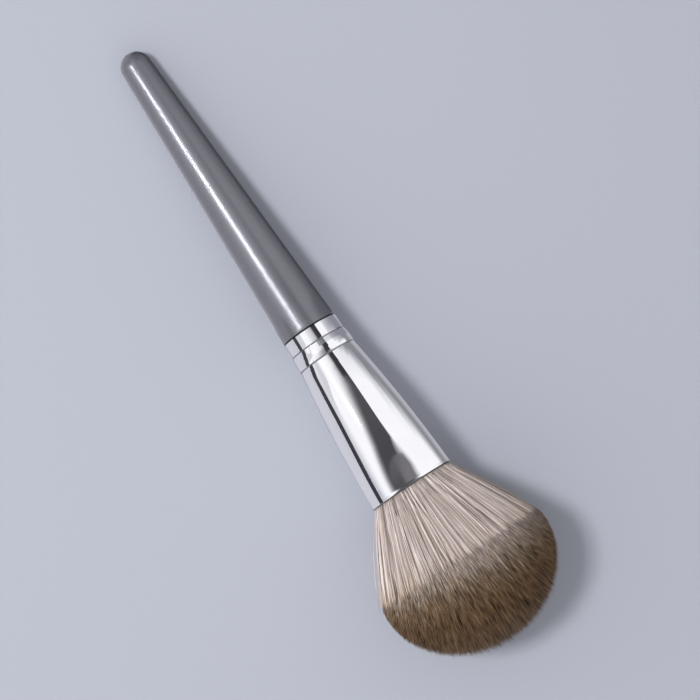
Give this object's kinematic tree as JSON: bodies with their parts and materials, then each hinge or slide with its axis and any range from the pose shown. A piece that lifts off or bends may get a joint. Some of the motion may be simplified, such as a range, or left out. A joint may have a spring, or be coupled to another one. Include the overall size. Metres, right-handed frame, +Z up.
{
  "type": "powder brush",
  "caption": "Loose powder brush lying at rest, with a tapered pearl grey handle, a flared mirror-bright ferrule and a wide round two-tone tuft.",
  "frame": {"origin": "on the table, under the middle of the brush's length and width as it lies", "axes": "+X along the table from the handle's nose to the hair, +Z up; the brush's own axis climbs about 7.1 degrees from the nose to the tuft, on which it rests"},
  "size_m": [0.19, 0.0505, 0.0497],
  "materials": {
    "handle": "satin pearl grey lacquer on turned wood",
    "ferrule": "bright plated drawn metal, polished to a mirror",
    "adhesive": "cured glue, hidden in the ferrule",
    "resin": "cast resin, hidden in the ferrule",
    "thread": "wound thread, hidden in the ferrule",
    "hair": "fine soft hair, pale taupe at the root and brown at the tips"
  },
  "bodies": {
    "root": {"handle": "handle", "ferrule": "ferrule", "tenon_adhesive": "adhesive", "root_resin": "resin", "root_binding": "thread", "tuft": "hair"}
  },
  "joints": []
}
